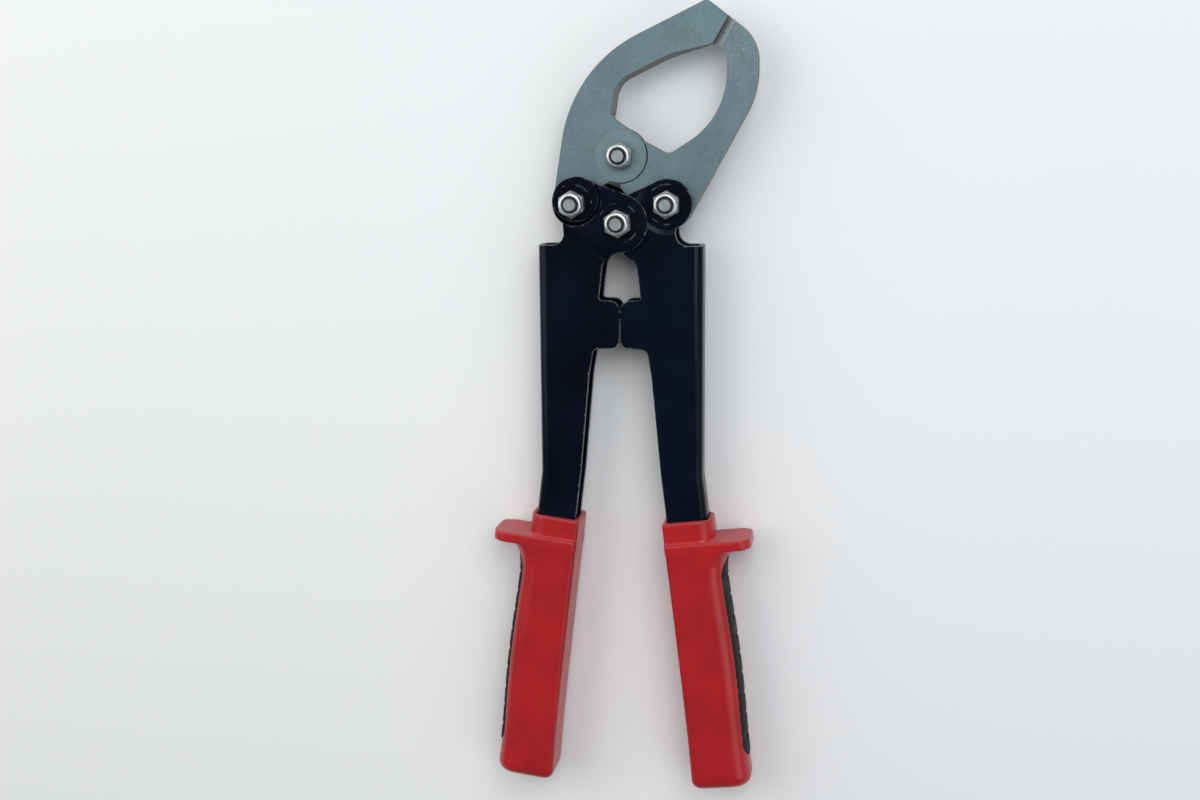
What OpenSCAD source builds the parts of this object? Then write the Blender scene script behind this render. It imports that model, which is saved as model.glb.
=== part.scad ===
// Compound-leverage cutters with wide-mouthed nipper jaws.
// The tool lies flat: X across, Y from the grips towards the jaw tips, Z up through the thickness.
// The origin is on the handle pivot's axis, at the lower face of that pivot's bolt head.

/* [Linkage] */
// Half the distance between the left and the right link pivots
link_half_span = 19.5; // [18:0.5:24]
// How far the jaw pivot lies in front of the link pivots
jaw_arm = 19.5; // [17.5:0.5:24]
// How far the handle pivot lies behind the link pivots
handle_arm = 7.5; // [6.5:0.5:9]

/* [Jaws] */
// Thickness of both jaws
jaw_t = 7; // [5.5:0.5:9]
// Distance from the jaw pivot forwards to the tip of the left jaw
jaw_reach = 61.3; // [51:0.5:74]
// Distance from the centre line to the widest point of the right jaw
jaw_belly = 55.7; // [50:0.5:67]
// Radius of the lapped lobe round the jaw pivot
lobe_r = 10.9; // [9:0.1:13.1]
// Clearance between a lobe and the shoulder round it
lobe_gap = 0.5; // [0.4:0.05:1]
// Clearance between the two lapped faces
lap_gap = 0.2; // [0.1:0.05:0.4]
// Width of the ground chamfer along the left jaw's inner edge
mouth_chamfer = 1.6; // [1:0.1:2.2]
// Width of the ground bevel at the right jaw's cutting edge
edge_bevel = 3.4; // [2.5:0.1:4.2]
// Land left at the cutting edge
edge_land = 0.3; // [0.2:0.1:0.8]
// Gap left between the two cutting faces with the handles closed
edge_gap = 0.3; // [0.2:0.05:0.6]

/* [Handles] */
// Sheet thickness of the pressed channel handles
sheet_t = 2; // [1.5:0.1:2.5]
// Outer bend radius of the channel
bend_r = 3.4; // [3:0.1:4.5]
// Distance from a link pivot outwards to the outer face of its handle
handle_reach = 14.7; // [12.2:0.1:17.7]
// Length of the straight part of a handle behind the handle pivot
handle_run = 105; // [90:1:126]
// Width of the channel where the grip is pushed on
tang_w = 17; // [15:0.5:20]
// Length of the channel inside the grip
tang_len = 84; // [70:1:100]
// Length of splayed channel between the straight part and the grip
bare_run = 18.4; // [15:0.5:23]
// Outward splay of the channel inside the grip, in degrees
splay = 7; // [5:0.5:8]
// How far the handle plates stand off beyond the pivot discs
disc_step = 1; // [0.8:0.1:1.5]
// Radius of the pressed disc round the right link pivot
disc_r = 10.3; // [9.5:0.1:10.8]
// Length of the stop tabs that meet on the centre line
stop_len = 17.5; // [14:0.5:21]
// Gap between the stop tabs with the handles closed
stop_gap = 0.2; // [0.1:0.05:0.5]

/* [Grips] */
// Length of a grip from its rim to its end
grip_len = 119; // [110:1:143]
// Wall of the grip round the channel on the flat sides
grip_wall = 3.1; // [2.5:0.1:4]
// Wall of the grip round the channel on its two edges
grip_side_wall = 2.1; // [1.7:0.1:2.8]
// Height of the collar above the thumb guard
collar_h = 9.2; // [7:0.1:12]
// How far the thumb guard stands out beyond the collar
guard_out = 15; // [12:0.5:18]
// Thickness of the thumb guard
guard_t = 4.4; // [3.5:0.1:5.5]
// Length of the soft palm pad
pad_len = 88; // [75:1:90]
// Width of the soft palm pad
pad_w = 13; // [10:0.5:15]
// How far the palm pad stands proud of the grip
pad_proud = 0.5; // [0.3:0.1:1]

/* [Fasteners] */
// Bolt diameter
bolt_d = 6; // [5:0.2:7.2]
// Width across the flats of bolt heads and nuts
hex_af = 10; // [9.5:0.5:12]
// Height of a bolt head
head_h = 4; // [3:0.1:5]
// Height of the hexagon of a nut
nut_hex_h = 4.2; // [3.5:0.1:5]
// Height of the round collar that holds the nylon ring
nut_collar_h = 1.9; // [1.5:0.1:2.4]
// Length of bolt that stands out of a nut
bolt_end = 0.8; // [0.4:0.1:1.5]
// Radial clearance of a bolt in its bores
bore_fit = 0.05; // [0.02:0.01:0.1]
// Radial clearance of the jaw bolt in the right jaw's eye
eye_gap = 0.5; // [0.45:0.05:0.8]
// Clearance between faces that slide over each other
slide_gap = 0.2; // [0.1:0.05:0.4]

/* [Hidden] */
$fn = 64;

steel = "#8a979b";
black_paint = "#14161c";
zinc = "#c4c6c8";
red_plastic = "#b81d24";
black_rubber = "#1c1d20";
nylon = "#e4e2d8";

// Distance from the centre line to the outer face of a handle
handle_out = link_half_span + handle_reach;

// Pivot places in the plane of the tool, round the handle pivot at [0, 0]
left_pivot = [-link_half_span, handle_arm];
right_pivot = [link_half_span, handle_arm];
jaw_pivot = [0, handle_arm + jaw_arm];

// Heights above and below the middle plane of the jaws
jaw_half = jaw_t / 2;
disc_in = jaw_half + slide_gap;
disc_out = disc_in + sheet_t;
plate_in = disc_in + disc_step;
plate_out = plate_in + sheet_t;
ear_in = plate_out + slide_gap;
ear_out = ear_in + sheet_t;
// Height of the jaws' middle plane above the rest face
mid_z = ear_out + slide_gap + head_h;

bolt_r = bolt_d / 2;
bore_r = bolt_r + bore_fit;
hex_r = hex_af / 2 / cos(30);
nut_h = nut_hex_h + nut_collar_h;
spacer_r = bolt_r + sheet_t;
// Slope of the pressed steps, as run over rise for the discs
ring_run = 1.8;
arc_chord = 2;
// Corners that end on a round part lie this far inside it
inset = 0.05;
far = 60;

// Directions along and across the splayed end of the right handle
tang_dir = [sin(splay), -cos(splay)];
tang_side = [cos(splay), sin(splay)];

// ---- Outline helpers ----

function unit(v) = v / norm(v);
function polar(r, a) = r * [cos(a), sin(a)];

// Points of the fillet of radius q[2] at corner q, between its neighbours p and s
function fillet(p, q, s) =
    let (corner = [q[0], q[1]],
         u = unit([p[0], p[1]] - corner),
         v = unit([s[0], s[1]] - corner),
         half = acos(u * v) / 2,
         centre = corner + unit(u + v) * q[2] / sin(half),
         first = corner + u * q[2] / tan(half) - centre,
         last = corner + v * q[2] / tan(half) - centre,
         a0 = atan2(first[1], first[0]),
         turn = (atan2(last[1], last[0]) - a0 + 900) % 360 - 180,
         n = max(ceil(abs(turn) / 12), ceil(abs(turn) * q[2] * PI / 180 / arc_chord)))
    [for (i = [0:n]) centre + polar(q[2], a0 + turn * i / n)];

// Closed outline through corners [x, y, radius], where radius 0 is a sharp corner
function rounded(pts) =
    [for (i = [0:len(pts) - 1])
        let (p = pts[(i + len(pts) - 1) % len(pts)], q = pts[i], s = pts[(i + 1) % len(pts)])
        each (q[2] > 0 ? fillet(p, q, s) : [[q[0], q[1]]])];

// Extrudes flat shapes between two heights measured from the middle plane
module slab(low, high) {
    translate([0, 0, mid_z + low])
        for (i = [0:$children - 1])
            linear_extrude(high - low)
                children(i);
}

// Repeats a shape on both sides of the middle plane
module both_faces() {
    children();
    translate([0, 0, 2 * mid_z])
        mirror([0, 0, 1])
            children();
}

module disc(place, r) {
    translate(place)
        circle(r);
}

// ---- Jaws ----

// Jaw outlines follow the reach and the belly, and their tails follow the link pivots
reach_shift = jaw_reach - 61.3;
belly_shift = jaw_belly - 55.7;
left_tail_r = 8.6;
right_tail_r = 10.4;
jaw_y = jaw_pivot[1];

// The cutting line runs from its front end to its mouth end, where the two jaws meet
cut_front = [43.6 + belly_shift, jaw_y + 54.8 + reach_shift];
cut_mouth = [37.5 + belly_shift, jaw_y + 44.1 + reach_shift];
cut_dir = unit(cut_front - cut_mouth);
cut_side = [cut_dir[1], -cut_dir[0]];
cut_angle = atan2(cut_dir[1], cut_dir[0]);
cut_len = norm(cut_front - cut_mouth);

// Inner edge of the left jaw, from the cutting line to the corner above the lobe
mouth_edge = [
    [cut_mouth[0], cut_mouth[1], 0],
    [19.5 + belly_shift / 2, jaw_y + 38.2 + reach_shift * 3 / 4, 60],
    [-0.6, jaw_y + 28.5 + reach_shift / 2, 10],
    [-2.4, jaw_y + lobe_r + 4.9, 0]];

left_jaw_corners = concat(
    [concat(left_pivot + polar(left_tail_r - inset, 172), [0]),
     [-19.3, jaw_y + 35.4 + reach_shift / 2, 56],
     [35.2 + belly_shift, jaw_y + jaw_reach, 2],
     [cut_front[0], cut_front[1], 0]],
    mouth_edge,
    [[-2.5, jaw_y + lobe_r + 3.8, 1],
     concat(jaw_pivot + polar(lobe_r - inset, 62), [0]),
     concat(jaw_pivot, [0]),
     concat(jaw_pivot + polar(lobe_r - inset, 248), [0]),
     concat(jaw_pivot + [-8.5, -lobe_r - 2.1], [3]),
     concat(left_pivot + polar(left_tail_r - inset, -50), [0]),
     concat(left_pivot, [0])]);

// The right jaw's heel is the corner below the lobe, on the rear half only
heel = jaw_pivot + [2.6, -lobe_r - 4.9];
heel_r = norm(heel - jaw_pivot);
right_jaw_corners = [
    concat(cut_front + edge_gap * cut_side, [0]),
    [jaw_belly, jaw_y + 45.5 + reach_shift, 17],
    [jaw_belly, jaw_y + 24.4 + reach_shift / 2, 36],
    concat(right_pivot + polar(right_tail_r - inset, -28.8), [0]),
    concat(right_pivot, [0]),
    concat(right_pivot + polar(right_tail_r - inset, 230), [0]),
    concat(heel, [1.2]),
    concat(jaw_pivot + polar(lobe_r - inset, 259), [0]),
    concat(jaw_pivot, [0]),
    concat(jaw_pivot + polar(lobe_r - 1, 42), [0]),
    [19.4, jaw_y + 0.2, 5],
    [43.2 + belly_shift, jaw_y + 15.2 + reach_shift / 4, 32],
    [43.2 + belly_shift, cut_mouth[1] - 2.4, 3],
    concat(cut_mouth + edge_gap * cut_side, [0])];

// Cutter for a chamfer along an open outline with the steel on its right, at the upper face
module chamfer_cutter(outline, width, depth) {
    run_out = 1;
    outside = 1;
    sides = 3;
    slope = depth / width;
    top_z = mid_z + jaw_half;
    n = len(outline) - 1;
    path = concat(
        [outline[0]],
        [for (i = [1:n - 2]) (outline[i] + outline[i + 1]) / 2],
        [outline[n] + run_out * unit(outline[n - 1] - outline[n]), outline[n]]);
    last = len(path) - 1;
    rings = [for (i = [0:last])
        let (along = unit(path[min(i + 1, last)] - path[max(i - 1, 0)]),
             into = [along[1], -along[0]],
             reach = i == 0 || i == last ? -0.05 : width)
        each [concat(path[i] - into * outside, [top_z - (outside + reach) * slope]),
              concat(path[i] + into * (reach + width), [top_z + depth]),
              concat(path[i] - into * outside, [top_z + depth])]];
    polyhedron(rings, concat(
        [[for (k = [sides - 1:-1:0]) k]],
        [[for (k = [0:sides - 1]) last * sides + k]],
        [for (i = [0:last - 1], k = [0:sides - 1])
            let (a = i * sides + k, b = i * sides + (k + 1) % sides)
            each [[a, b, b + sides], [a, b + sides, a + sides]]]));
}

module left_jaw() {
    color(steel)
    difference() {
        slab(-jaw_half, jaw_half) {
            polygon(rounded(left_jaw_corners));
            disc(jaw_pivot, lobe_r);
            disc(left_pivot, left_tail_r);
        }
        slab(-jaw_half - 1, lap_gap / 2)
            disc(jaw_pivot, heel_r + lobe_gap);
        both_faces()
            chamfer_cutter(rounded(mouth_edge), mouth_chamfer, jaw_half * 0.6);
        slab(-jaw_t, jaw_t) {
            disc(jaw_pivot, bore_r);
            disc(left_pivot, bore_r);
        }
    }
}

// Cuts the upper face of the right jaw down to the land along the cutting line
module edge_bevel_cutter() {
    start = cut_front + edge_gap * cut_side + cut_len * cut_dir;
    translate([start[0], start[1], mid_z])
        rotate([0, 0, cut_angle - 90])
            rotate([90, 0, 0])
                linear_extrude(3 * cut_len)
                    polygon([[-1, edge_land / 2], [0, edge_land / 2], [edge_bevel, jaw_half],
                             [2 * edge_bevel, 2 * jaw_half], [-1, 2 * jaw_half]]);
}

module right_jaw() {
    // Direction from the jaw pivot in which the front half starts below the lobe
    shoulder_angle = 271;
    color(steel)
    difference() {
        slab(-jaw_half, jaw_half) {
            polygon(rounded(right_jaw_corners));
            disc(jaw_pivot, lobe_r);
            disc(right_pivot, right_tail_r);
        }
        slab(-lap_gap / 2, jaw_half + 1) {
            disc(jaw_pivot, lobe_r + lobe_gap);
            translate(jaw_pivot)
                polygon([[0, 0], polar(far, shoulder_angle), [-far, -far], [-far, 0]]);
        }
        both_faces()
            edge_bevel_cutter();
        slab(-jaw_t, jaw_t) {
            disc(jaw_pivot, bolt_r + eye_gap);
            disc(right_pivot, bore_r);
        }
    }
}

// ---- Handles ----
// Both handles are drawn as the right one, and the left one is mirrored.

disc_place = right_pivot;
// The left handle's ear is set in towards the handle pivot, and its pressed dish runs off its edge
ear_disc_place = right_pivot + [-1.6, 1];
ear_disc_r = 10.1;
ear_dish_place = right_pivot + [-1, 2.6];
ear_dish_r = 9.7;
hub_r = 8.8;
ear_r = 12;
// The step of an ear runs square to this direction, between these distances from the handle pivot
step_angle = -58;
step_near = 11.1;
step_far = 16.1;
tang_in = handle_out - tang_w / cos(splay);
stop_top = -32.1;
stop_low = stop_top - stop_len - 2;
notch_low = -9.3;
notch_side = link_half_span + 3.6;
notch_r = 5;
tang_end = [handle_out, -handle_run] + (bare_run + tang_len) * tang_dir;

// Corners of a handle's plate, from the handle pivot down the inner edge and back up
function plate_corners(hub, first, place, r) =
    let (t = atan2(place[1], place[0]) + acos((hub - r) / norm(place)))
    [[0, 0, 0],
     first,
     [7, -16.2, 4.5],
     [8.9, stop_top + 0.2, 1.3],
     [stop_gap / 2, stop_top, 4.3],
     [stop_gap / 2, stop_low, 4],
     [11.3, stop_low - 0.6, 2.6],
     [13.2, stop_low - 12, 15],
     [tang_in, -handle_run, 30],
     concat(tang_end - tang_w * tang_side, [0]),
     concat(tang_end + tang_side, [0]),
     [handle_out + 1, -handle_run, 0],
     [handle_out + 1, notch_low, 0],
     [notch_side, notch_low, notch_r],
     [notch_side, place[1] - r / 2, 0],
     concat(place, [0]),
     concat(place + polar(r - inset, t), [0]),
     concat(polar(hub - inset, t), [0])];

right_plate = rounded(plate_corners(hub_r, [-0.5, -11.6, 0], disc_place, disc_r));
left_plate = rounded(plate_corners(ear_r, concat(polar(ear_r - inset, 275), [0]),
                                   ear_disc_place, ear_disc_r));

// Section across the channel, filled, with its rounded edge at x and open towards -x
module rounded_edge(x, half, r) {
    translate([-far, -half])
        square([far + x - r, 2 * half]);
    translate([-far, r - half])
        square([far + x, 2 * (half - r)]);
    for (side = [-1, 1])
        translate([x - r, side * (half - r)])
            circle(r);
}

// The folded sheet before its outline is cut
module channel() {
    difference() {
        channel_runs(0, plate_out, bend_r);
        channel_runs(-sheet_t, plate_in, bend_r - sheet_t);
    }
}

// The straight and the splayed run of one surface of the channel, which cross at the bend
module channel_runs(x, half, r) {
    past = 2 * handle_run;
    for (turn = [0, splay])
        translate([handle_out, -handle_run, mid_z])
            rotate([0, 0, turn])
                translate([0, past, 0])
                    rotate([90, 0, 0])
                        linear_extrude(2 * past)
                            rounded_edge(x, half, r);
}

// Cone below a surface at the height low, flat out to r_in, which falls by drop over run
module dish(place, r_in, run, low, drop, over) {
    translate([place[0], place[1], mid_z])
        rotate_extrude()
            polygon([[0, low - drop], [r_in, low - drop],
                     [r_in + run * (drop + over) / drop, low + over], [0, low + over]]);
}

module right_handle() {
    dish_r = disc_r + 0.2;
    color(black_paint)
    difference() {
        intersection() {
            slab(-plate_out, plate_out) {
                polygon(right_plate);
                disc([0, 0], hub_r);
                disc(disc_place, disc_r);
            }
            union() {
                channel();
                both_faces()
                    dish(disc_place, dish_r, ring_run, plate_in, disc_step, sheet_t / 4);
            }
        }
        both_faces()
            dish(disc_place, dish_r, ring_run, plate_out, disc_step, sheet_t);
        slab(-far, far) {
            disc([0, 0], bore_r);
            disc(right_pivot, bore_r);
        }
    }
}

// One side's sheet in profile: the ear, the slope and the start of the plate
module stepped_sheet() {
    rotate([0, 0, step_angle])
        translate([0, far, mid_z])
            rotate([90, 0, 0])
                linear_extrude(2 * far)
                    polygon([[-far, ear_in], [step_near, ear_in],
                             [step_far, plate_in], [step_far + 6, plate_in],
                             [step_far + 6, plate_out], [step_far, plate_out],
                             [step_near, ear_out], [-far, ear_out]]);
}

// The left handle's ears step outwards to pass over the right handle's plates
module left_handle() {
    ear_drop = ear_in - disc_in;
    color(black_paint)
    mirror([1, 0, 0])
    difference() {
        intersection() {
            slab(-ear_out, ear_out) {
                polygon(left_plate);
                disc([0, 0], ear_r);
                disc(ear_disc_place, ear_disc_r);
            }
            union() {
                intersection() {
                    channel();
                    slab(-far, far)
                        rotate(step_angle)
                            translate([step_far + 2, -4 * far])
                                square(8 * far);
                }
                both_faces() {
                    stepped_sheet();
                    dish(ear_dish_place, ear_dish_r, ring_run, ear_in, ear_drop, sheet_t / 4);
                }
            }
        }
        both_faces()
            dish(ear_dish_place, ear_dish_r, ring_run, ear_out, ear_drop, sheet_t);
        slab(-far, far) {
            disc([0, 0], bore_r);
            disc(right_pivot, bore_r);
        }
    }
}

module centre_spacer() {
    color(zinc)
    slab(-plate_in, plate_in)
        difference() {
            disc([0, 0], spacer_r);
            disc([0, 0], bore_r);
        }
}

// ---- Grips ----
// A grip is drawn with X outwards, -Y along its length from the rim and Z up.

grip_half_w = tang_w / 2 + grip_side_wall;
grip_half_h = plate_out + grip_wall;
guard_low = collar_h + guard_t;
guard_half_h = grip_half_h + 1.4;
pad_start = guard_low + 4.6;
pad_floor = tang_w / 2 + 1.2;

module at_grip() {
    translate([handle_out, -handle_run, mid_z])
        rotate([0, 0, splay])
            translate([-tang_w / 2, -bare_run, 0])
                children();
}

// Outer profile of the grip below the guard: hollow under the guard, then a palm swell
function palm_side(s) =
    let (t = s - guard_low, u = (s - guard_low) / (grip_len - guard_low))
    grip_half_w + 2.1 + 6.2 * exp(-t / 3.6) + 1.5 * pow(sin(180 * u), 2) + 1.4 * pow(u, 6);
function finger_side(s) =
    let (u = (s - guard_low) / (grip_len - guard_low))
    grip_half_w + 1.2 * pow(u, 4);
function face_side(s) =
    let (t = s - guard_low, u = (s - guard_low) / (grip_len - guard_low))
    grip_half_h + 0.9 + 0.35 * exp(-t / 6) + 0.5 * pow(sin(180 * u), 2) - 0.5 * u;

// One section of the grip as points [x, z], shrunk by trim and swollen by proud
function grip_section(s, trim, proud) =
    let (x1 = palm_side(s) - trim + proud,
         x0 = finger_side(s) - trim,
         h = face_side(s) - trim,
         corners = [[x1, h, 0.74 * h], [-x0, h, 2.4], [-x0, -h, 2.4], [x1, -h, 0.74 * h]],
         steps = 8)
    [for (k = [0:3], i = [0:steps])
        let (c = corners[k], a = 90 * k + 90 * i / steps)
        [c[0] - sign(c[0]) * c[2], c[1] - sign(c[1]) * c[2]] + polar(c[2], a)];

// Solid lofted through the sections of the grip from the guard to the rounded end
module grip_loft(proud) {
    end_r = 5;
    body_steps = 26;
    end_steps = 6;
    stations = concat(
        [for (i = [0:body_steps])
            [guard_low - 1 + (grip_len - end_r - guard_low + 1) * pow(i / body_steps, 1.4), 0]],
        [for (i = [1:end_steps])
            let (a = 84 * i / end_steps)
            [grip_len - end_r + end_r * sin(a), end_r * (1 - cos(a))]]);
    rings = [for (st = stations)
        [for (q = grip_section(st[0], st[1], proud)) [q[0], -st[0], q[1]]]];
    n = len(rings[0]);
    m = len(rings);
    polyhedron([for (r = rings) each r], concat(
        [[for (k = [0:n - 1]) k]],
        [[for (k = [n - 1:-1:0]) (m - 1) * n + k]],
        [for (i = [0:m - 2], k = [0:n - 1])
            let (a = i * n + k, b = i * n + (k + 1) % n)
            each [[a, a + n, b], [b, a + n, b + n]]]));
}

// Rounded block of the palm pad's outline, standing outwards from its floor
module pad_block(inset) {
    r = pad_w / 2 - inset;
    translate([pad_floor, 0, 0])
        rotate([0, 90, 0])
            linear_extrude(far)
                for (y = [pad_start + pad_w / 2, pad_start + pad_len - pad_w / 2]) {
                    translate([0, -y])
                        circle(r);
                    translate([-r, -pad_start - pad_len + pad_w / 2])
                        square([2 * r, pad_len - pad_w]);
                }
}

// Section of the collar: round on the outer side and nearly square on the inner side
module collar_section() {
    r = 0.68 * grip_half_h;
    small_r = 1.6;
    for (side = [-1, 1]) {
        translate([grip_half_w - r, side * (grip_half_h - r)])
            circle(r);
        translate([small_r - grip_half_w, side * (grip_half_h - small_r)])
            circle(small_r);
    }
    translate([-grip_half_w, small_r - grip_half_h])
        square([2 * grip_half_w - r, 2 * (grip_half_h - small_r)]);
    translate([small_r - grip_half_w, -grip_half_h])
        square([2 * grip_half_w - r - small_r, 2 * grip_half_h]);
    translate([0, r - grip_half_h])
        square([grip_half_w, 2 * (grip_half_h - r)]);
}

// The thumb guard is a flat ledge with rounded outer corners that goes round the whole grip
module guard_section() {
    r = 5.5;
    small_r = 2.4;
    tip = grip_half_w + guard_out;
    back = -grip_half_w - 0.15;
    translate([back + small_r, -guard_half_h])
        square([tip - r - back - small_r, 2 * guard_half_h]);
    translate([back, small_r - guard_half_h])
        square([grip_half_w, 2 * (guard_half_h - small_r)]);
    translate([0, r - guard_half_h])
        square([tip, 2 * (guard_half_h - r)]);
    for (side = [-1, 1]) {
        translate([tip - r, side * (guard_half_h - r)])
            circle(r);
        translate([back + small_r, side * (guard_half_h - small_r)])
            circle(small_r);
    }
}

module grip() {
    color(red_plastic)
    at_grip()
    difference() {
        union() {
            rotate([90, 0, 0])
                linear_extrude(collar_h + guard_t)
                    collar_section();
            translate([0, -collar_h, 0])
                rotate([90, 0, 0])
                    linear_extrude(guard_t)
                        guard_section();
            grip_loft(0);
        }
        translate([-tang_w / 2, -tang_len, -plate_out])
            cube([tang_w, tang_len + 1, 2 * plate_out]);
        pad_block(0);
    }
}

module palm_pad() {
    groove_count = 9;
    groove_w = 1.6;
    color(black_rubber)
    at_grip()
    difference() {
        intersection() {
            grip_loft(pad_proud);
            pad_block(0);
        }
        for (i = [1:groove_count])
            translate([palm_side(pad_start + pad_len * i / (groove_count + 1)) - 0.4,
                       -pad_start - pad_len * i / (groove_count + 1) - groove_w / 2, -pad_w])
                cube([far, groove_w, 2 * pad_w]);
    }
}

module left_grip() {
    mirror([1, 0, 0])
        grip();
}

module right_grip() {
    grip();
}

module left_palm_pad() {
    mirror([1, 0, 0])
        palm_pad();
}

module right_palm_pad() {
    palm_pad();
}

// ---- Fasteners ----

// Hexagonal prism with its edges turned down at both ends, from z = 0
module hex_prism(h, turn) {
    face_r = hex_af / 2 - 0.1;
    over_r = hex_r + 0.3;
    edge = (over_r - face_r) * tan(30);
    intersection() {
        rotate(turn)
            linear_extrude(h)
                circle(hex_r, $fn = 6);
        rotate_extrude()
            polygon([[0, 0], [face_r, 0], [over_r, edge],
                     [over_r, h - edge], [face_r, h], [0, h]]);
    }
}

// Bolt whose head lies against a face at the height seat and whose end is at the height end
module bolt(place, seat, end, turn) {
    tip = 0.5;
    color(zinc)
    translate([place[0], place[1], mid_z]) {
        translate([0, 0, seat - head_h])
            hex_prism(head_h, turn);
        translate([0, 0, seat - 1])
            rotate_extrude()
                polygon([[0, 0], [bolt_r, 0], [bolt_r, end - seat + 1 - tip],
                         [bolt_r - tip, end - seat + 1], [0, end - seat + 1]]);
    }
}

// Self-locking nut: a hexagon with a rounded collar that holds a nylon ring
module nut(place, seat, turn) {
    collar_r = hex_af / 2 - 0.15;
    round_r = 1.1;
    lip_r = bolt_r + 0.45;
    color(zinc)
    translate([place[0], place[1], mid_z + seat])
    difference() {
        union() {
            hex_prism(nut_hex_h, turn);
            cylinder(h = nut_h - round_r, r = collar_r);
            translate([0, 0, nut_h - round_r])
                rotate_extrude()
                    intersection() {
                        union() {
                            translate([collar_r - round_r, 0])
                                circle(round_r);
                            square([collar_r - round_r, round_r]);
                        }
                        square([collar_r, round_r]);
                    }
        }
        translate([0, 0, -1])
            cylinder(h = nut_h + 2, r = bore_r);
        translate([0, 0, nut_hex_h - 0.2])
            cylinder(h = nut_h, r = lip_r);
        translate([0, 0, nut_hex_h - 0.2])
            cylinder(h = nut_collar_h - 0.4, r = lip_r + 0.6);
    }
}

// Nylon ring seated in the nut's collar
module nut_ring(place, seat) {
    color(nylon)
    translate([place[0], place[1], mid_z + seat + nut_hex_h - 0.2])
    difference() {
        cylinder(h = nut_collar_h - 0.4, r = bolt_r + 1.05);
        translate([0, 0, -1])
            cylinder(h = nut_h, r = bore_r);
    }
}

// Each pivot: place, height of the head's seat, height of the nut's seat, turn of the nut
jaw_joint = [jaw_pivot, -jaw_half - slide_gap, jaw_half, 24];
left_joint = [left_pivot, -disc_out, disc_out, 33];
right_joint = [right_pivot, -disc_out, disc_out, 29];
handle_joint = [[0, 0], -ear_out - slide_gap, ear_out + slide_gap, 35];

module joint_bolt(j) {
    bolt(j[0], j[1], j[2] + nut_h + bolt_end, j[3] + 11);
}

module joint_nut(j) {
    nut(j[0], j[2], j[3]);
}

module joint_ring(j) {
    nut_ring(j[0], j[2]);
}

left_jaw();
right_jaw();
left_handle();
right_handle();
centre_spacer();
left_grip();
right_grip();
left_palm_pad();
right_palm_pad();
joint_bolt(jaw_joint);  // jaw_bolt
joint_bolt(left_joint);  // left_link_bolt
joint_bolt(right_joint);  // right_link_bolt
joint_bolt(handle_joint);  // handle_bolt
joint_nut(jaw_joint);  // jaw_nut
joint_nut(left_joint);  // left_link_nut
joint_nut(right_joint);  // right_link_nut
joint_nut(handle_joint);  // handle_nut
joint_ring(jaw_joint);  // jaw_nut_ring
joint_ring(left_joint);  // left_link_nut_ring
joint_ring(right_joint);  // right_link_nut_ring
joint_ring(handle_joint);  // handle_nut_ring
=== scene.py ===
"""Looks for the compound-leverage cutters: finish of every piece, moulded grips, floor, light and camera."""

import math

import bmesh
import bpy
from mathutils import Matrix, Vector


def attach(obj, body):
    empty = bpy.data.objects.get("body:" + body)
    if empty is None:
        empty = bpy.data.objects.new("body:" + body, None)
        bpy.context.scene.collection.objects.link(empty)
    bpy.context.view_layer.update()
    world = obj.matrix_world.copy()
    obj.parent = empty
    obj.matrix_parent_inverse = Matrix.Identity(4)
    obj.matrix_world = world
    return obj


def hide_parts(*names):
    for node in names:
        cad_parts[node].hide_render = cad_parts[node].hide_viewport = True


MM = 0.001

# Places of the pivots' axes, and the outer radii of a bolt and of a nut's round collar
HANDLE_PIVOT = (0.0, 0.0)
LEFT_PIVOT = (-19.5 * MM, 7.5 * MM)
RIGHT_PIVOT = (19.5 * MM, 7.5 * MM)
JAW_PIVOT = (0.0, 27.0 * MM)
BOLT_R = 3.0 * MM
COLLAR_R = 4.85 * MM

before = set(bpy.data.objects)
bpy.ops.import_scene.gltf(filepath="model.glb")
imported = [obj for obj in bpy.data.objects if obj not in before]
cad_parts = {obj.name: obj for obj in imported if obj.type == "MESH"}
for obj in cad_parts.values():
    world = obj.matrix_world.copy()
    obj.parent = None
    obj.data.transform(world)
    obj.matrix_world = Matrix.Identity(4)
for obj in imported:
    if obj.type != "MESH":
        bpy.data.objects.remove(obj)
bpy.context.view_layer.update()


# ---- Materials ----


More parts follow.
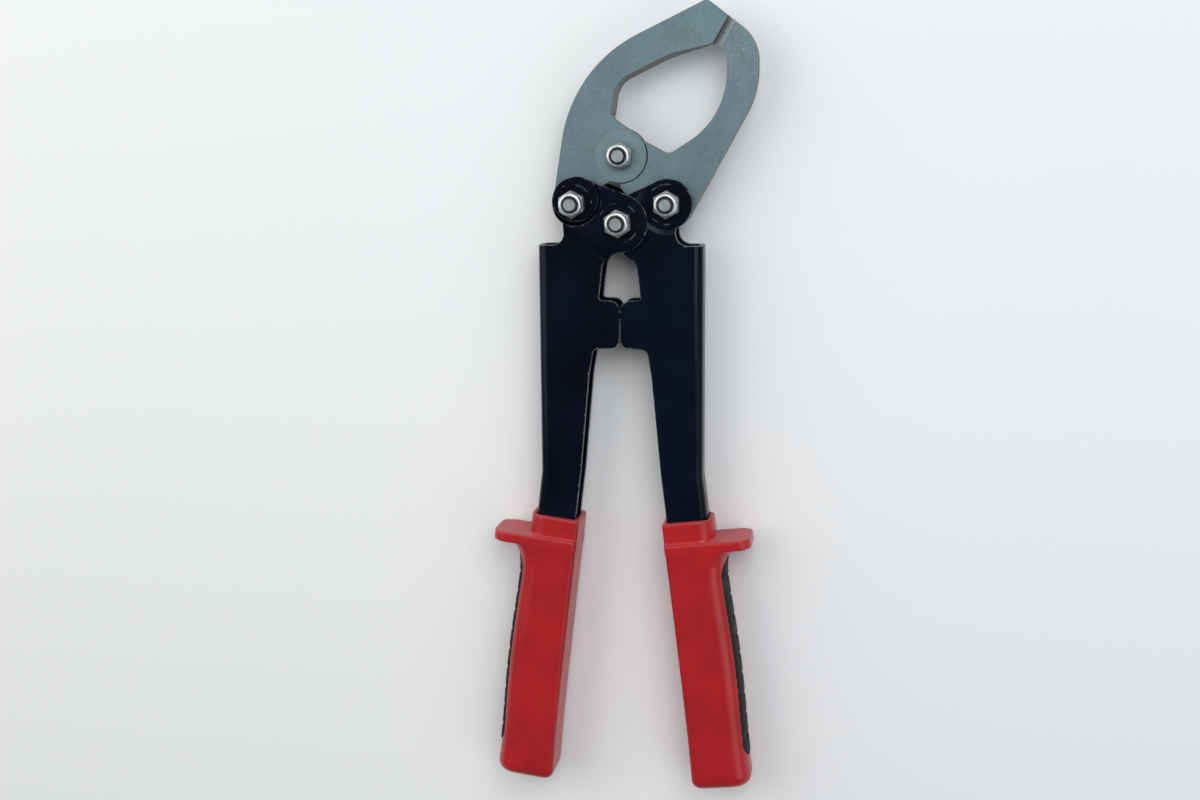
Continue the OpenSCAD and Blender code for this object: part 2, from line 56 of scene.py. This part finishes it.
class Surface:
    """A material and short ways of adding nodes to it. Lengths are metres in the piece's own frame."""

    def __init__(self, name):
        self.material = bpy.data.materials.new(name)
        self.material.use_nodes = True
        self.tree = self.material.node_tree
        self.shader = self.tree.nodes["Principled BSDF"]
        coords = self.node("ShaderNodeTexCoord")
        self.place = coords.outputs["Object"]
        self.normal = coords.outputs["Normal"]

    def node(self, kind, **settings):
        made = self.tree.nodes.new(kind)
        for key, value in settings.items():
            setattr(made, key, value)
        return made

    def put(self, socket, value):
        """Links a socket to an output, or sets it to a constant."""
        if isinstance(value, bpy.types.NodeSocket):
            self.tree.links.new(value, socket)
        else:
            socket.default_value = value

    def math(self, operation, a, b=0.5):
        made = self.node("ShaderNodeMath", operation=operation)
        self.put(made.inputs[0], a)
        self.put(made.inputs[1], b)
        return made.outputs[0]

    def times(self, *values):
        out = values[0]
        for value in values[1:]:
            out = self.math("MULTIPLY", out, value)
        return out

    def band(self, value, low, high, top=1.0):
        """0 where value is below low, top where it is above high, smooth between them."""
        made = self.node("ShaderNodeMapRange", interpolation_type="SMOOTHSTEP")
        self.put(made.inputs["Value"], value)
        made.inputs["From Min"].default_value = low
        made.inputs["From Max"].default_value = high
        made.inputs["To Max"].default_value = top
        return made.outputs[0]

    def noise(self, size, detail=2.0, roughness=0.5, distortion=0.0, vector=None):
        """Noise whose blobs are about size metres across."""
        made = self.node("ShaderNodeTexNoise")
        self.put(made.inputs["Vector"], vector or self.place)
        made.inputs["Scale"].default_value = 1.0 / size
        made.inputs["Detail"].default_value = detail
        made.inputs["Roughness"].default_value = roughness
        made.inputs["Distortion"].default_value = distortion
        return made.outputs["Fac"]

    def stretched(self, scale, turn=0.0):
        made = self.node("ShaderNodeMapping")
        self.put(made.inputs["Vector"], self.place)
        made.inputs["Rotation"].default_value = (0.0, 0.0, math.radians(turn))
        made.inputs["Scale"].default_value = scale
        return made.outputs[0]

    def mix(self, factor, a, b):
        made = self.node("ShaderNodeMix", data_type="RGBA")
        self.put(made.inputs["Factor"], factor)
        for socket, colour in ((made.inputs["A"], a), (made.inputs["B"], b)):
            if isinstance(colour, tuple):
                colour = (*colour, 1.0)
            self.put(socket, colour)
        return made.outputs["Result"]

    def blend(self, factor, a, b):
        """Mixes two numbers."""
        made = self.node("ShaderNodeMix", data_type="FLOAT")
        self.put(made.inputs["Factor"], factor)
        self.put(made.inputs["A"], a)
        self.put(made.inputs["B"], b)
        return made.outputs["Result"]

    def along(self, vector, axis):
        made = self.node("ShaderNodeSeparateXYZ")
        self.put(made.inputs[0], vector)
        return made.outputs[axis]

    def from_axis(self, centre):
        """Distance from the vertical line through centre."""
        shift = self.node("ShaderNodeVectorMath", operation="SUBTRACT")
        self.put(shift.inputs[0], self.place)
        shift.inputs[1].default_value = (centre[0], centre[1], 0.0)
        flat = self.node("ShaderNodeVectorMath", operation="MULTIPLY")
        self.put(flat.inputs[0], shift.outputs[0])
        flat.inputs[1].default_value = (1.0, 1.0, 0.0)
        length = self.node("ShaderNodeVectorMath", operation="LENGTH")
        self.put(length.inputs[0], flat.outputs[0])
        return length.outputs["Value"]

    def ring(self, distance, radius, half_width):
        """1 on a ring round an axis, falling to 0 at half_width from it."""
        away = self.math("ABSOLUTE", self.math("SUBTRACT", distance, radius))
        return self.math("SUBTRACT", 1.0, self.band(away, half_width * 0.4, half_width))

    def edges(self, radius, low=0.03, high=0.2):
        """1 along sharp edges, within about radius of them."""
        rounded = self.node("ShaderNodeBevel", samples=6)
        rounded.inputs["Radius"].default_value = radius
        geometry = self.node("ShaderNodeNewGeometry")
        dot = self.node("ShaderNodeVectorMath", operation="DOT_PRODUCT")
        self.put(dot.inputs[0], rounded.outputs[0])
        self.put(dot.inputs[1], geometry.outputs["Normal"])
        return self.band(self.math("SUBTRACT", 1.0, dot.outputs["Value"]), low, high)

    def bump(self, *layers):
        """Adds bump layers, each a height socket and its depth in metres."""
        normal = None
        for height, depth in layers:
            made = self.node("ShaderNodeBump")
            made.inputs["Strength"].default_value = 1.0
            made.inputs["Distance"].default_value = depth
            self.put(made.inputs["Height"], height)
            if normal is not None:
                self.put(made.inputs["Normal"], normal)
            normal = made.outputs["Normal"]
        self.put(self.shader.inputs["Normal"], normal)

    def finish(self, colour, roughness, metallic=0.0):
        self.put(self.shader.inputs["Base Color"], colour)
        self.put(self.shader.inputs["Roughness"], roughness)
        self.put(self.shader.inputs["Metallic"], metallic)
        return self.material


def scaled(colour, factor):
    return tuple(factor * value for value in colour)


def jaw_steel(name, glints_from, painted_bevel_highlight):
    """Grey-blue steel plate with a fine grain, smudges, hairlines, ground bevels and cut walls painted
    darker, partly their own tone and partly painted shade.

    Bright specks, painted glints, show beyond the X given by the second argument; the third argument scales
    the brightness of the ground bevels, a painted highlight.
    """
    s = Surface(name)
    up = s.math("ABSOLUTE", s.along(s.normal, "Z"))
    face = s.band(up, 0.80, 0.95)
    ground = s.band(up, 0.40, 0.55)
    clouds = s.band(s.noise(22 * MM, 4, 0.6), 0.35, 0.65)
    grain = s.noise(0.7 * MM, 4, 0.7)
    colour = s.mix(clouds, (0.136, 0.202, 0.226), (0.163, 0.238, 0.264))
    colour = s.mix(s.band(grain, 0.45, 0.75, 0.35), colour, (0.25, 0.33, 0.355))
    colour = s.mix(s.band(s.noise(2.0 * MM, 4), 0.48, 0.72, 0.30), colour, (0.100, 0.148, 0.166))
    smudge = s.band(s.noise(17 * MM, 5, 0.62, 0.8), 0.55, 0.72, 0.30)
    colour = s.mix(smudge, colour, (0.145, 0.160, 0.150))
    # Bright specks towards the jaw's belly: painted glints.
    belly = s.band(s.along(s.place, "X"), glints_from, glints_from + 9 * MM)
    painted_glints = s.times(s.band(s.noise(0.9 * MM, 1), 0.62, 0.76), belly, 0.32)
    colour = s.mix(painted_glints, colour, (0.62, 0.72, 0.74))
    pits = s.band(s.noise(1.1 * MM, 0), 0.80, 0.84, 0.5)
    colour = s.mix(pits, colour, (0.09, 0.10, 0.10))
    hair_a = s.band(s.noise(1.0, 2, vector=s.stretched((2600, 60, 60), 28)), 0.66, 0.72)
    hair_b = s.band(s.noise(1.0, 2, vector=s.stretched((3000, 70, 70), -52)), 0.68, 0.74)
    hairs = s.times(s.math("MAXIMUM", hair_a, hair_b), clouds, 0.35)
    colour = s.mix(hairs, colour, (0.46, 0.55, 0.57))
    rub = s.times(s.ring(s.from_axis(JAW_PIVOT), 8.0 * MM, 3.0 * MM), s.noise(3 * MM, 3), 0.6)
    colour = s.mix(rub, colour, (0.25, 0.34, 0.36))
    streaks = s.noise(1.0, 3, vector=s.stretched((900, 900, 60)))
    # Steep walls: darker cut steel, with painted shade on top.
    dark_and_shaded_wall = s.mix(streaks, (0.055, 0.058, 0.056), (0.15, 0.15, 0.135))
    # Ground bevels: paler ground steel, scaled up by a painted highlight that is stronger on the right jaw.
    bevel = s.mix(streaks, scaled((0.17, 0.19, 0.19), painted_bevel_highlight), scaled((0.24, 0.255, 0.25), painted_bevel_highlight))
    colour = s.mix(face, s.mix(ground, dark_and_shaded_wall, bevel), colour)
    colour = s.mix(s.times(s.edges(0.5 * MM), s.noise(1.5 * MM, 2), 0.5), colour, (0.44, 0.50, 0.51))
    rough = s.blend(clouds, 0.50, 0.58)
    rough = s.blend(s.times(painted_glints, 0.8), rough, 0.25)
    s.bump(
        (grain, 0.05 * MM),
        (s.noise(3 * MM, 3), 0.05 * MM),
        (hairs, -0.02 * MM),
        (s.times(streaks, s.math("SUBTRACT", 1.0, face)), 0.08 * MM),
    )
    return s.finish(colour, rough, s.blend(face, 0.35, 0.85))


def black_paint(name, scuffs):
    """Gloss navy-black paint with orange peel, dust specks and chipped edges.

    Each scuff is a centre and the radius of a faint, broken ring worn round it.
    """
    s = Surface(name)
    s.shader.inputs["Specular IOR Level"].default_value = 0.13
    clouds = s.noise(30 * MM, 3)
    colour = s.mix(s.band(clouds, 0.35, 0.65), (0.0008, 0.0018, 0.0062), (0.0020, 0.0044, 0.0135))
    dust = s.band(s.noise(1.1 * MM, 1), 0.76, 0.82, 0.5)
    colour = s.mix(dust, colour, (0.045, 0.06, 0.08))
    facing = s.band(s.math("ABSOLUTE", s.along(s.normal, "Z")), 0.6, 0.9)
    worn = s.times(s.edges(0.45 * MM), s.band(s.noise(6 * MM, 4, 0.7), 0.38, 0.55))
    chips = s.times(s.edges(1.3 * MM, 0.015, 0.1), s.band(s.noise(1.5 * MM, 3, 0.6), 0.61, 0.66))
    bare = s.math("MAXIMUM", worn, chips)
    for centre, radius in scuffs:
        broken = s.band(s.noise(3.5 * MM, 4, 0.65), 0.55, 0.62)
        scuff = s.times(s.ring(s.from_axis(centre), radius, 0.35 * MM), broken, facing, 0.25)
        bare = s.math("MAXIMUM", bare, scuff)
    metal = s.mix(s.noise(1.2 * MM, 2), (0.16, 0.145, 0.125), (0.50, 0.51, 0.49))
    colour = s.mix(bare, colour, metal)
    rough = s.blend(s.noise(12 * MM, 4, 0.6), 0.16, 0.32)
    rough = s.blend(bare, rough, 0.5)
    s.bump(
        (s.noise(1.9 * MM, 2), 0.04 * MM),
        (s.noise(14 * MM, 2), 0.10 * MM),
        (dust, 0.03 * MM),
        (bare, -0.04 * MM),
    )
    return s.finish(colour, rough, s.times(bare, 0.6))


def red_plastic():
    """Glossy moulded red; upward faces of the thumb guards are rougher from rubbing and painted paler, a
    painted reflection of the light above.
    """
    s = Surface("red_moulding")
    clouds = s.noise(24 * MM, 3)
    colour = s.mix(s.band(clouds, 0.35, 0.65), (0.37, 0.0070, 0.010), (0.45, 0.0090, 0.013))
    top = s.band(s.along(s.normal, "Y"), 0.75, 0.95)
    lines = s.noise(1.0, 3, vector=s.stretched((45, 900, 900)))
    rubbed_and_painted_sheen = s.times(top, s.blend(lines, 0.35, 0.75))
    # Upward faces painted paler: a painted reflection of the light from above, streaked along the guard.
    colour = s.mix(rubbed_and_painted_sheen, colour, (0.50, 0.10, 0.105))
    grime = s.band(s.noise(9 * MM, 5, 0.65), 0.60, 0.75, 0.30)
    colour = s.mix(grime, colour, (0.24, 0.006, 0.009))
    rough = s.blend(s.noise(8 * MM, 4), 0.24, 0.40)
    rough = s.blend(rubbed_and_painted_sheen, rough, 0.55)
    s.bump(
        (s.noise(0.7 * MM, 2), 0.018 * MM),
        (s.noise(6 * MM, 2), 0.08 * MM),
        (s.times(lines, top), 0.04 * MM),
    )
    return s.finish(colour, rough)


def soft_rubber():
    """Matt black rubber, greyer and smoother where hands have rubbed it."""
    s = Surface("pad_rubber")
    grain = s.noise(0.6 * MM, 3, 0.6)
    worn = s.band(s.noise(6 * MM, 4), 0.50, 0.70, 0.6)
    colour = s.mix(worn, (0.010, 0.010, 0.012), (0.030, 0.030, 0.032))
    colour = s.mix(s.band(grain, 0.6, 0.75, 0.3), colour, (0.055, 0.055, 0.055))
    s.bump((grain, 0.06 * MM), (s.noise(2.5 * MM, 2), 0.06 * MM))
    return s.finish(colour, s.blend(worn, 0.85, 0.6))


def zinc_plate(name, centre):
    """Bright zinc with turning marks and stains; duller hexagon flats painted dark as painted shade, and a
    painted shade ring round the bolt's end.
    """
    s = Surface(name)
    turning_pitch = 0.32 * MM
    out = s.from_axis(centre)
    facing = s.band(s.along(s.normal, "Z"), 0.7, 0.95)
    turned = s.math("SINE", s.math("MULTIPLY", out, 2 * math.pi / turning_pitch))
    haze = s.noise(1.6 * MM, 4, 0.6)
    colour = s.mix(s.band(haze, 0.35, 0.7), (0.60, 0.64, 0.65), (0.82, 0.85, 0.86))
    stain = s.band(s.noise(2.4 * MM, 4, 0.6), 0.58, 0.74, 0.5)
    colour = s.mix(stain, colour, (0.25, 0.21, 0.155))
    # Beyond the round collar the hexagon flats are duller zinc, painted dark as painted shade.
    dull_shaded_flats = s.times(s.band(out, COLLAR_R - 0.10 * MM, COLLAR_R + 0.15 * MM), s.blend(haze, 0.5, 1.0))
    colour = s.mix(dull_shaded_flats, colour, (0.095, 0.095, 0.088))
    middle = s.math("SUBTRACT", 1.0, s.band(out, BOLT_R - 0.6 * MM, BOLT_R - 0.2 * MM))
    colour = s.mix(s.times(middle, facing, 0.8), colour, (0.38, 0.45, 0.48))
    upward = s.band(s.along(s.normal, "Z"), 0.3, 0.6)
    # A near-black ring round the bolt's end: painted shade in the recess under the collar's lip.
    painted_shade_ring = s.times(s.ring(out, BOLT_R, 0.85 * MM), upward, 0.96)
    colour = s.mix(painted_shade_ring, colour, (0.020, 0.022, 0.028))
    rough = s.blend(haze, 0.22, 0.42)
    s.bump(
        (s.times(turned, facing), 0.006 * MM),
        (s.noise(1.2 * MM, 3), 0.03 * MM),
    )
    rough = s.blend(s.math("MAXIMUM", stain, dull_shaded_flats), rough, 0.55)
    return s.finish(colour, rough, s.blend(dull_shaded_flats, 1.0, 0.35))


def nylon():
    """Nylon at the bottom of a nut's collar, painted near black as painted shade in the recess, with a
    random mottle.
    """
    s = Surface("insert_nylon")
    grime = s.noise(1.1 * MM, 4)
    # Near-black colour: painted shade in the collar's recess.
    colour = s.mix(grime, (0.006, 0.008, 0.012), (0.030, 0.034, 0.042))
    s.bump((s.noise(0.5 * MM, 2), 0.02 * MM))
    return s.finish(colour, s.blend(grime, 0.4, 0.6))


# ---- CAD nodes that stay, with softened edges ----

WELD_DISTANCE = 0.002 * MM
SHARP_ANGLE = math.radians(28)


def dress(node, material, edge):
    """Gives a CAD node its material and rounds its sharp edges a little."""
    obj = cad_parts[node]
    if not obj.material_slots:
        obj.data.materials.append(material)
    for place in obj.material_slots:
        place.material = material
    weld = obj.modifiers.new("Weld", "WELD")
    weld.merge_threshold = WELD_DISTANCE
    bevel = obj.modifiers.new("Edges", "BEVEL")
    bevel.width = edge
    bevel.segments = 3
    bevel.limit_method = "ANGLE"
    bevel.angle_limit = SHARP_ANGLE
    bevel.harden_normals = True


# ---- Moulded pieces, made from the CAD solids with rounded edges ----


def moulded(node, name, body, material, voxel, rounds):
    """A skinned copy of a CAD solid, whose edges are as round as in a moulded part."""
    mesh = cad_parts[node].data.copy()
    work = bmesh.new()
    work.from_mesh(mesh)
    bmesh.ops.remove_doubles(work, verts=work.verts, dist=0.001 * MM)
    work.to_mesh(mesh)
    work.free()
    obj = bpy.data.objects.new(name, mesh)
    bpy.context.scene.collection.objects.link(obj)
    skin = obj.modifiers.new("Skin", "REMESH")
    skin.mode = "VOXEL"
    skin.voxel_size = voxel
    skin.use_smooth_shade = True
    soften = obj.modifiers.new("Soften", "SMOOTH")
    soften.factor = 0.5
    soften.iterations = rounds
    seen = obj.evaluated_get(bpy.context.evaluated_depsgraph_get())
    obj.data = bpy.data.meshes.new_from_object(seen)
    obj.modifiers.clear()
    obj.data.materials.clear()
    obj.data.materials.append(material)
    obj.data.shade_smooth()
    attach(obj, body)
    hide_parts(node)
    return obj


PAINT = {
    "left_handle": black_paint("left_handle_paint", [(HANDLE_PIVOT, 8.1 * MM), (LEFT_PIVOT, 7.9 * MM)]),
    "right_handle": black_paint("right_handle_paint", [(RIGHT_PIVOT, 8.1 * MM)]),
}
for node, material in PAINT.items():
    dress(node, material, 0.22 * MM)
# The numbers after each jaw's name: where its painted glints start, and the strength of the painted
# highlight on its ground bevels.
dress("left_jaw", jaw_steel("left_jaw_steel", 90 * MM, 1.0), 0.30 * MM)
dress("right_jaw", jaw_steel("right_jaw_steel", 40 * MM, 1.6), 0.30 * MM)

ring_material = nylon()
for joint, centre in (
    ("jaw", JAW_PIVOT),
    ("left_link", LEFT_PIVOT),
    ("right_link", RIGHT_PIVOT),
    ("handle", HANDLE_PIVOT),
):
    zinc = zinc_plate(joint + "_zinc", centre)
    dress(joint + "_bolt", zinc, 0.10 * MM)
    dress(joint + "_nut", zinc, 0.14 * MM)
    dress(joint + "_nut_ring", ring_material, 0.05 * MM)
dress("centre_spacer", zinc_plate("spacer_zinc", HANDLE_PIVOT), 0.15 * MM)

red = red_plastic()
rubber = soft_rubber()
for side in ("left", "right"):
    body = side + "_handle"
    moulded(side + "_grip", side + "_grip_moulding", body, red, 0.5 * MM, 6)
    moulded(side + "_palm_pad", side + "_pad_moulding", body, rubber, 0.45 * MM, 3)


# ---- Floor, light and camera ----


def floor_material():
    s = Surface("pale_floor")
    colour = s.mix(s.noise(0.35, 3), (0.86, 0.865, 0.87), (0.90, 0.905, 0.91))
    s.bump((s.noise(1.2 * MM, 3), 0.02 * MM))
    return s.finish(colour, 0.8)


def add_floor():
    half = 4.0
    drop = 0.05 * MM
    mesh = bpy.data.meshes.new("floor")
    mesh.from_pydata(
        [(-half, -half, 0), (half, -half, 0), (half, half, 0), (-half, half, 0)], [], [(0, 1, 2, 3)]
    )
    floor = bpy.data.objects.new("floor", mesh)
    floor.location.z = -drop
    bpy.context.scene.collection.objects.link(floor)
    mesh.materials.append(floor_material())


def add_light(name, place, size, power, colour):
    """An area light that faces the middle of the tool."""
    data = bpy.data.lights.new(name, "AREA")
    data.shape = "RECTANGLE"
    data.size, data.size_y = size
    data.energy = power
    data.color = colour
    light = bpy.data.objects.new(name, data)
    light.location = place
    light.rotation_euler = (TOOL_MIDDLE - Vector(place)).to_track_quat("-Z", "Y").to_euler()
    bpy.context.scene.collection.objects.link(light)


def add_camera():
    """Looks down on the tool, leaning a little to the right and towards the jaws."""
    target = Vector((-9.709, -74.839, 13.1)) * MM
    distance = 673.387 * MM
    lean_right = math.radians(10.259)
    lean_up = math.radians(10.818)
    roll = math.radians(-0.483)
    back = Vector((math.tan(lean_right), math.tan(lean_up), 1.0)).normalized()
    right = (-back).cross(Vector((0, 1, 0))).normalized()
    up = right.cross(-back)
    side = math.cos(roll) * right + math.sin(roll) * up
    top = -math.sin(roll) * right + math.cos(roll) * up
    data = bpy.data.cameras.new("view")
    data.lens = 48.0
    data.sensor_width = 36.0
    data.sensor_fit = "HORIZONTAL"
    data.clip_start = 0.01
    camera = bpy.data.objects.new("view", data)
    turn = Matrix((side, top, back)).transposed().to_4x4()
    camera.matrix_world = Matrix.Translation(target + distance * back) @ turn
    bpy.context.scene.collection.objects.link(camera)
    bpy.context.scene.camera = camera


def set_world(colour, strength):
    world = bpy.data.worlds.new("studio")
    world.use_nodes = True
    background = world.node_tree.nodes["Background"]
    background.inputs["Color"].default_value = (*colour, 1.0)
    background.inputs["Strength"].default_value = strength
    bpy.context.scene.world = world


TOOL_MIDDLE = Vector((0.0, -0.07, 0.013))

add_floor()
add_light("sky", (0.38, 0.52, 1.15), (0.9, 0.9), 8.5, (0.97, 0.99, 1.0))
add_light("key", (-0.85, 0.30, 0.75), (1.1, 1.3), 7.5, (1.0, 0.99, 0.97))
add_light("top", (0.10, 1.05, 0.75), (1.4, 0.7), 3.0, (0.95, 0.98, 1.0))
add_light("fill", (0.95, -0.35, 0.80), (0.8, 0.8), 2.5, (0.95, 0.97, 1.0))
set_world((0.90, 0.95, 1.0), 0.20)
bpy.context.scene.view_settings.view_transform = "Standard"
add_camera()
